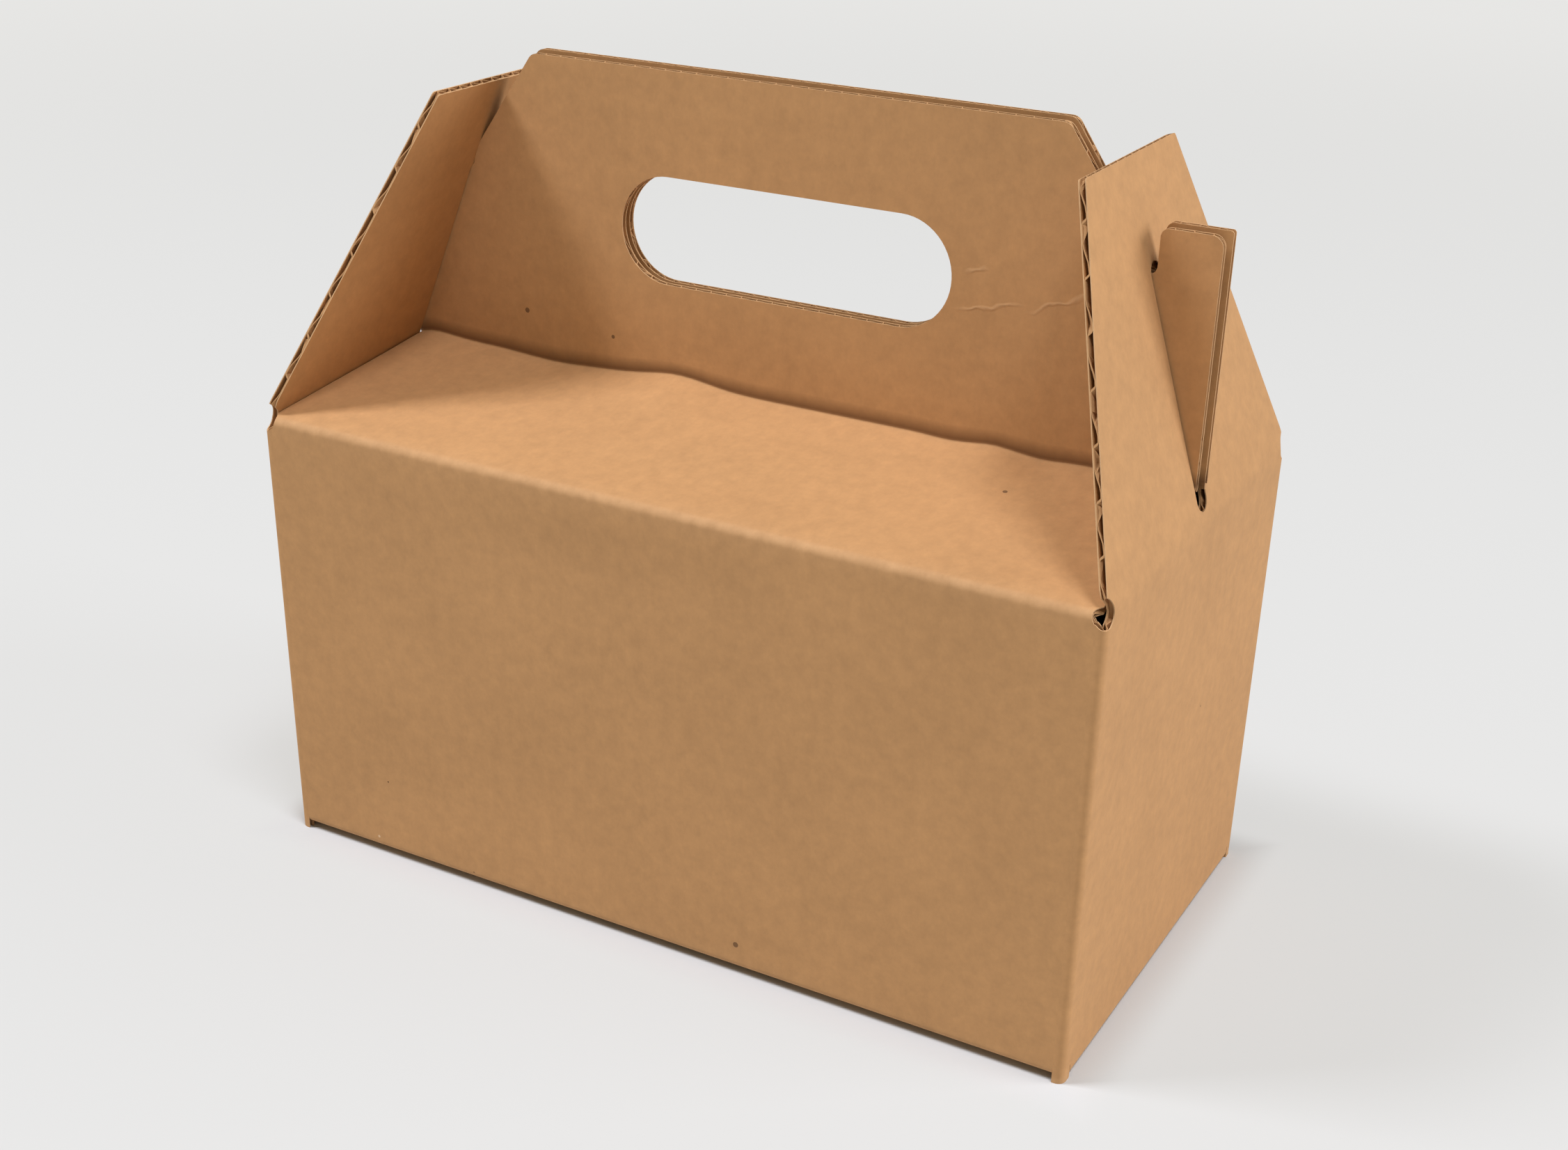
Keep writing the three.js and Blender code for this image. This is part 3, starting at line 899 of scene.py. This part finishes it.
def kraft_tree():
    """Tone, roughness and height of kraft liner.

    It has cloudy pulp, short fibres, dark and pale specks, pale wear along creases, and painted shade
    darkening the valley of the ridge fold.
    """
    tree = bpy.data.node_groups.new("Kraft liner", "ShaderNodeTree")
    add_socket(tree, "Vector", "NodeSocketVector")
    add_socket(tree, "Tone", "NodeSocketColor")
    add_socket(tree, "Crease", "NodeSocketFloat")
    add_socket(tree, "Mottle", "NodeSocketFloat", value=0.5)
    add_socket(tree, "Specks", "NodeSocketFloat", value=1.0)
    add_socket(tree, "Color", "NodeSocketColor", "OUTPUT")
    add_socket(tree, "Roughness", "NodeSocketFloat", "OUTPUT")
    add_socket(tree, "Height", "NodeSocketFloat", "OUTPUT")
    given = tree.nodes.new("NodeGroupInput")
    result = tree.nodes.new("NodeGroupOutput")
    vector = given.outputs["Vector"]
    cloud = texture(tree, "ShaderNodeTexNoise", 28, vector, 3).outputs["Fac"]
    drawn = stretched(tree, vector, (1, 0.85, 1))
    pulp = texture(tree, "ShaderNodeTexNoise", 260, drawn, 5, 0.62).outputs["Fac"]
    drawn = stretched(tree, vector, (1, 0.7, 1))
    fibre = texture(tree, "ShaderNodeTexNoise", 900, drawn, 4, 0.6).outputs["Fac"]
    drawn = stretched(tree, vector, (1, 0.04, 1))
    streak = texture(tree, "ShaderNodeTexNoise", 150, drawn, 2).outputs["Fac"]

    def around(value, share):
        return math_node(tree, "MULTIPLY", math_node(tree, "SUBTRACT", value, 0.5), share)

    sum_ab = math_node(tree, "ADD", around(cloud, 0.34), around(pulp, 0.60))
    sum_cd = math_node(tree, "ADD", around(fibre, 0.22), around(streak, 0.03))
    shade = math_node(tree, "MULTIPLY", math_node(tree, "ADD", sum_ab, sum_cd), given.outputs["Mottle"])
    level = math_node(tree, "ADD", shade, 1.0)
    scaled = tree.nodes.new("ShaderNodeVectorMath")
    scaled.operation = "SCALE"
    tree.links.new(given.outputs["Tone"], scaled.inputs[0])
    tree.links.new(level, scaled.inputs["Scale"])
    color = scaled.outputs["Vector"]
    scattered = stretched(tree, vector, (1.1, 1.1, 1))
    for scale, rarity, tint in SPECK_KINDS:
        cells = texture(tree, "ShaderNodeTexVoronoi", scale, scattered)
        cells.inputs["Randomness"].default_value = 1.0
        pick = tree.nodes.new("ShaderNodeSeparateColor")
        tree.links.new(cells.outputs["Color"], pick.inputs["Color"])
        rare = math_node(tree, "GREATER_THAN", pick.outputs["Red"], rarity)
        reach = math_node(tree, "MULTIPLY", pick.outputs["Green"], SPECK_SIZE)
        dot = math_node(tree, "LESS_THAN", cells.outputs["Distance"], reach)
        strength = math_node(tree, "MULTIPLY", pick.outputs["Blue"], SPECK_STRENGTH)
        speck = math_node(tree, "MULTIPLY", math_node(tree, "MULTIPLY", rare, dot), strength)
        speck = math_node(tree, "MULTIPLY", speck, given.outputs["Specks"])
        color = mixed(tree, speck, color, tint)
    wear = math_node(tree, "MULTIPLY", given.outputs["Crease"], math_node(tree, "MULTIPLY", pulp, 0.22))
    color = mixed(tree, wear, color, WORN_TONE)
    # Painted shade: a negative crease value darkens the valley of the ridge fold
    ridge_shade = math_node(tree, "MULTIPLY", given.outputs["Crease"], -0.6)
    color = mixed(tree, ridge_shade, color, RIDGE_SHADE_TONE)
    tree.links.new(color, result.inputs["Color"])
    roughness = math_node(tree, "ADD", math_node(tree, "MULTIPLY", pulp, 0.16), 0.74)
    tree.links.new(roughness, result.inputs["Roughness"])
    grain = math_node(tree, "MULTIPLY", fibre, 0.4)
    height = math_node(tree, "ADD", math_node(tree, "MULTIPLY", pulp, 0.6), grain)
    tree.links.new(height, result.inputs["Height"])
    return tree


# Wrinkles on the front ply: where each starts and ends, as x and z
WRINKLES = ((51, 169.0, 72, 173.5), (70, 171.0, 91, 180.0), (54, 178.5, 61, 181.5))
WRINKLE_HALF_WIDTH = 0.7
WRINKLE_WANDER = 4.5
WRINKLE_HEIGHT = 2.2


def wrinkle_tree(ply_start):
    """A mask of the soft wrinkles beside the hand hole, each a wandering line on the flat front sheet."""
    tree = bpy.data.node_groups.new("Handled wrinkles", "ShaderNodeTree")
    add_socket(tree, "Vector", "NodeSocketVector")
    add_socket(tree, "Wrinkle", "NodeSocketFloat", "OUTPUT")
    vector = tree.nodes.new("NodeGroupInput").outputs["Vector"]
    result = tree.nodes.new("NodeGroupOutput")
    split = tree.nodes.new("ShaderNodeSeparateXYZ")
    tree.links.new(vector, split.inputs["Vector"])
    wander = texture(tree, "ShaderNodeTexNoise", 140, vector, 2).outputs["Fac"]
    wander = math_node(tree, "MULTIPLY", math_node(tree, "SUBTRACT", wander, 0.5), WRINKLE_WANDER * MM)
    total = 0.0
    for start_x, start_z, end_x, end_z in WRINKLES:
        length = math.hypot(end_x - start_x, end_z - start_z)
        run, rise = (end_x - start_x) / length, (end_z - start_z) / length
        x = math_node(tree, "SUBTRACT", split.outputs["X"], start_x * MM)
        z = math_node(tree, "SUBTRACT", split.outputs["Y"], (start_z - FOLD_HEIGHT + ply_start) * MM)
        along = math_node(tree, "MULTIPLY", x, run)
        along = math_node(tree, "ADD", along, math_node(tree, "MULTIPLY", z, rise))
        off = math_node(tree, "MULTIPLY", z, run)
        off = math_node(tree, "SUBTRACT", off, math_node(tree, "MULTIPLY", x, rise))
        off = math_node(tree, "ABSOLUTE", math_node(tree, "ADD", off, wander))
        away = smooth_step(tree, off, 0.0, WRINKLE_HALF_WIDTH * MM)
        line = math_node(tree, "SUBTRACT", 1.0, away)
        line = math_node(tree, "MULTIPLY", line, smooth_step(tree, along, 0.0, length / 3 * MM))
        fade = math_node(tree, "SUBTRACT", 1.0, smooth_step(tree, along, length * 2 / 3 * MM, length * MM))
        total = math_node(tree, "ADD", total, math_node(tree, "MULTIPLY", line, fade))
    tree.links.new(total, result.inputs["Wrinkle"])
    return tree


def kraft_material(name, tree, tone, mottle, specks, bump, flat_layout=True, ribs=0.0, wrinkles=None):
    """Kraft board with its own tone; ribs lets the flutes show faintly through the liner."""
    material = bpy.data.materials.new(name)
    material.use_nodes = True
    shading = material.node_tree
    nodes, links = shading.nodes, shading.links
    shader = nodes["Principled BSDF"]
    shader.inputs["Specular IOR Level"].default_value = 0.25
    group = nodes.new("ShaderNodeGroup")
    group.node_tree = tree
    if flat_layout:
        layout = nodes.new("ShaderNodeUVMap")
        layout.uv_map = "Board"
        vector = layout.outputs["UV"]
    else:
        vector = nodes.new("ShaderNodeTexCoord").outputs["Object"]
    links.new(vector, group.inputs["Vector"])
    mark = nodes.new("ShaderNodeAttribute")
    mark.attribute_name = "crease"
    # The crease attribute: pale wear where positive, painted shade along the ridge fold where negative
    crease_wear_and_shade = mark.outputs["Fac"]
    if wrinkles:
        creased = nodes.new("ShaderNodeGroup")
        creased.node_tree = wrinkles
        links.new(vector, creased.inputs["Vector"])
        crease_wear_and_shade = math_node(shading, "ADD", crease_wear_and_shade, creased.outputs["Wrinkle"])
    links.new(crease_wear_and_shade, group.inputs["Crease"])
    group.inputs["Tone"].default_value = (*tone, 1)
    group.inputs["Mottle"].default_value = mottle
    group.inputs["Specks"].default_value = specks
    links.new(group.outputs["Color"], shader.inputs["Base Color"])
    links.new(group.outputs["Roughness"], shader.inputs["Roughness"])
    height = group.outputs["Height"]
    if ribs:
        split = nodes.new("ShaderNodeSeparateXYZ")
        links.new(vector, split.inputs["Vector"])
        angle = math_node(shading, "MULTIPLY", split.outputs["X"], 2 * math.pi / (FLUTE_PITCH * MM))
        wave = math_node(shading, "MULTIPLY", math_node(shading, "SINE", angle), ribs)
        height = math_node(shading, "ADD", height, wave)
    if wrinkles:
        raised = math_node(shading, "MULTIPLY", creased.outputs["Wrinkle"], WRINKLE_HEIGHT)
        height = math_node(shading, "ADD", height, raised)
    relief = nodes.new("ShaderNodeBump")
    relief.inputs["Strength"].default_value = bump
    relief.inputs["Distance"].default_value = RELIEF_DEPTH
    links.new(height, relief.inputs["Height"])
    links.new(relief.outputs["Normal"], shader.inputs["Normal"])
    return material


liner_tree = kraft_tree()
front_path = front_line()
handled = wrinkle_tree(front_path.crease(RIDGE_FOLD) - front_path.after[2])
FINISHES = {
    "Outside": kraft_material("Kraft outside", liner_tree, (0.525, 0.280, 0.118),
                              0.6, 1.0, 0.3, ribs=0.22, wrinkles=handled),
    "Inside": kraft_material("Kraft inside", liner_tree, (0.50, 0.262, 0.104), 0.6, 1.0, 0.3, ribs=0.3),
    "Flutes": kraft_material("Kraft flutes", liner_tree, (0.46, 0.245, 0.105),
                             0.7, 0.0, 0.5, flat_layout=False),
    "Cut edge": kraft_material("Kraft cut edge", liner_tree, (0.56, 0.335, 0.165),
                               0.8, 0.0, 0.6, flat_layout=False),
}


# The box

# Width and strength of the marks along creases; a positive one is pale wear, a negative one is painted
# shade in the valley of the ridge fold
WORN_CREASE = (1.6, 0.8)
RIDGE_SHADE_CREASE = (0.6, -1.5)
RIDGE_SHADE_OFFSET = 0.6


def make_box():
    """Makes the four folded sheets, sets the front and back ones on the box's body and hides the parts they
    stand for.
    """
    tree = corrugated_board_tree()
    pieces = {}
    line = front_line()
    crease = line.crease(WALL_CREASE)
    level = line.after[SLEEVE_CREASE]
    creases = (
        (line.crease(SLEEVE_CREASE), *WORN_CREASE),
        (crease, *WORN_CREASE),
        # painted shade: a dark line just past the ridge fold, in the valley where the roof meets the handle
        # ply
        (line.crease(RIDGE_FOLD) + RIDGE_SHADE_OFFSET, *RIDGE_SHADE_CREASE),
    )
    for name, facing, rise, extra, radius in (
        ("front_sheet", -1, 0.0, 0.0, FRONT_TAB_RADIUS),
        ("back_sheet", 1, BACK_PLY_RISE, BACK_TAB_REACH, BACK_TAB_RADIUS),
    ):
        loops = front_loops(line, rise, extra, radius)
        unrolled = 0.0 if facing < 0 else 2 * (FRONT_EDGE + END_EDGE)
        pieces[name] = sheet(name, line, loops, fold_front(facing, line), facing < 0, tree,
                             (), unrolled, level, creases, crease)
        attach(pieces[name], "box")
        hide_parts("carton")
    wrap = np.linspace(HALF_WIDTH - FOLD_RADIUS, HALF_WIDTH - FOLD_RADIUS + WRAP_ARC, 9)
    for name, side, body in (("right_end_sheet", 1, "right_flap"), ("left_end_sheet", -1, "left_flap")):
        line = end_line(side)
        unrolled = side * (FRONT_EDGE + END_EDGE)
        creases = ((line.crease(BOTTOM_CREASE), *WORN_CREASE),)
        piece = sheet(name, line, end_loops(line, side), fold_end(side, line), side > 0, tree,
                      (*wrap, *-wrap), unrolled, line.after[BOTTOM_CREASE], creases)
        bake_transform(piece)
        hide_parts(body.replace("_flap", "_end_flap"))
        pieces[name] = piece
    return pieces


make_box()


# Floor, light and camera

FLOOR_TONE = (0.61, 0.606, 0.592)
BACKGROUND_TONE = (0.80, 0.795, 0.78)
BACKGROUND_SHARE = 0.62
CONTACT_SHADOW = 14.0
AIM_HEIGHT = 0.1
FLOOR_FADE = (0.5, 1.8)
FLOOR_HALF = 60.0
SKY_TINT = (1.0, 0.955, 0.74)
LAMP_TINT = (0.96, 0.99, 1.09)


def make_floor():
    """A pale floor that fades into the background and keeps the box's shadow."""
    mesh = bpy.data.meshes.new("floor")
    half = FLOOR_HALF
    corners = [(-half, -half, 0), (half, -half, 0), (half, half, 0), (-half, half, 0)]
    mesh.from_pydata(corners, [], [(0, 1, 2, 3)])
    floor = bpy.data.objects.new("floor", mesh)
    bpy.context.scene.collection.objects.link(floor)
    material = bpy.data.materials.new("Pale floor")
    material.use_nodes = True
    shading = material.node_tree
    nodes, links = shading.nodes, shading.links
    shader = nodes["Principled BSDF"]
    shader.inputs["Base Color"].default_value = (*FLOOR_TONE, 1)
    shader.inputs["Roughness"].default_value = 0.9
    shader.inputs["Specular IOR Level"].default_value = 0.1
    glow = nodes.new("ShaderNodeEmission")
    glow.inputs["Color"].default_value = (*BACKGROUND_TONE, 1)
    path = nodes.new("ShaderNodeLightPath")
    direct = math_node(shading, "MAXIMUM", path.outputs["Is Camera Ray"], path.outputs["Is Glossy Ray"])
    spot = nodes.new("ShaderNodeTexCoord").outputs["Object"]
    split = nodes.new("ShaderNodeSeparateXYZ")
    links.new(spot, split.inputs["Vector"])
    clear = []
    for axis, half in (("X", HALF_LENGTH), ("Y", HALF_WIDTH)):
        reach = math_node(shading, "ABSOLUTE", split.outputs[axis])
        clear.append(smooth_step(shading, reach, half * MM, (half + CONTACT_SHADOW) * MM))
    direct = math_node(shading, "MULTIPLY", direct, math_node(shading, "MAXIMUM", *clear))
    away = nodes.new("ShaderNodeVectorMath")
    away.operation = "LENGTH"
    links.new(spot, away.inputs[0])
    fade = smooth_step(shading, away.outputs["Value"], *FLOOR_FADE)
    fade = math_node(shading, "MULTIPLY", fade, 1 - BACKGROUND_SHARE)
    share = math_node(shading, "ADD", fade, BACKGROUND_SHARE)
    share = math_node(shading, "MULTIPLY", direct, share)
    mix = nodes.new("ShaderNodeMixShader")
    links.new(share, mix.inputs["Fac"])
    links.new(shader.outputs["BSDF"], mix.inputs[1])
    links.new(glow.outputs["Emission"], mix.inputs[2])
    links.new(mix.outputs["Shader"], nodes["Material Output"].inputs["Surface"])
    mesh.materials.append(material)


def make_world(strength, tone):
    """Even light from all round, and the pale background that the camera sees."""
    world = bpy.data.worlds.new("Studio")
    world.use_nodes = True
    nodes, links = world.node_tree.nodes, world.node_tree.links
    light = nodes["Background"]
    light.inputs["Color"].default_value = (*SKY_TINT, 1)
    light.inputs["Strength"].default_value = strength
    seen = nodes.new("ShaderNodeBackground")
    seen.inputs["Color"].default_value = (*tone, 1)
    path = nodes.new("ShaderNodeLightPath")
    mix = nodes.new("ShaderNodeMixShader")
    links.new(path.outputs["Is Camera Ray"], mix.inputs["Fac"])
    links.new(light.outputs["Background"], mix.inputs[1])
    links.new(seen.outputs["Background"], mix.inputs[2])
    links.new(mix.outputs["Shader"], nodes["World Output"].inputs["Surface"])
    bpy.context.scene.world = world


def add_lamp(name, place, size, power):
    """A soft square lamp aimed at the middle of the box."""
    data = bpy.data.lights.new(name, "AREA")
    data.shape = "SQUARE"
    data.size = size
    data.energy = power
    data.color = LAMP_TINT
    lamp = bpy.data.objects.new(name, data)
    lamp.location = place
    lamp.rotation_mode = "QUATERNION"
    lamp.rotation_quaternion = (Vector(place) - Vector((0, 0, AIM_HEIGHT))).to_track_quat("Z", "Y")
    bpy.context.scene.collection.objects.link(lamp)


IMAGE_WIDTH = 2253
FOCAL_PIXELS = 2971.9
AXIS_BELOW_MIDDLE = 150
CAMERA_PLACE = (0.25575, -0.45742, 0.31595)
CAMERA_TURN = (28.713, 26.696, 1.272)
SENSOR_WIDTH = 36


def make_camera():
    data = bpy.data.cameras.new("camera")
    data.sensor_width = SENSOR_WIDTH
    data.lens = FOCAL_PIXELS / IMAGE_WIDTH * SENSOR_WIDTH
    data.shift_y = AXIS_BELOW_MIDDLE / IMAGE_WIDTH
    data.clip_start = 0.01
    camera = bpy.data.objects.new("camera", data)
    bpy.context.scene.collection.objects.link(camera)
    turn, tilt, roll = (math.radians(angle) for angle in CAMERA_TURN)
    spin = Matrix.Rotation(turn, 4, "Z") @ Matrix.Rotation(math.pi / 2 - tilt, 4, "X")
    spin = spin @ Matrix.Rotation(roll, 4, "Z")
    camera.matrix_world = Matrix.Translation(CAMERA_PLACE) @ spin
    bpy.context.scene.camera = camera


make_floor()
make_world(0.27, BACKGROUND_TONE)
add_lamp("left", (-1.48, -0.82, 2.48), 0.75, 60)
add_lamp("top right", (0.95, -0.55, 2.75), 0.7, 40)
add_lamp("right", (2.4, 0.9, 0.95), 1.3, 38)
make_camera()
bpy.context.scene.view_settings.view_transform = "Standard"
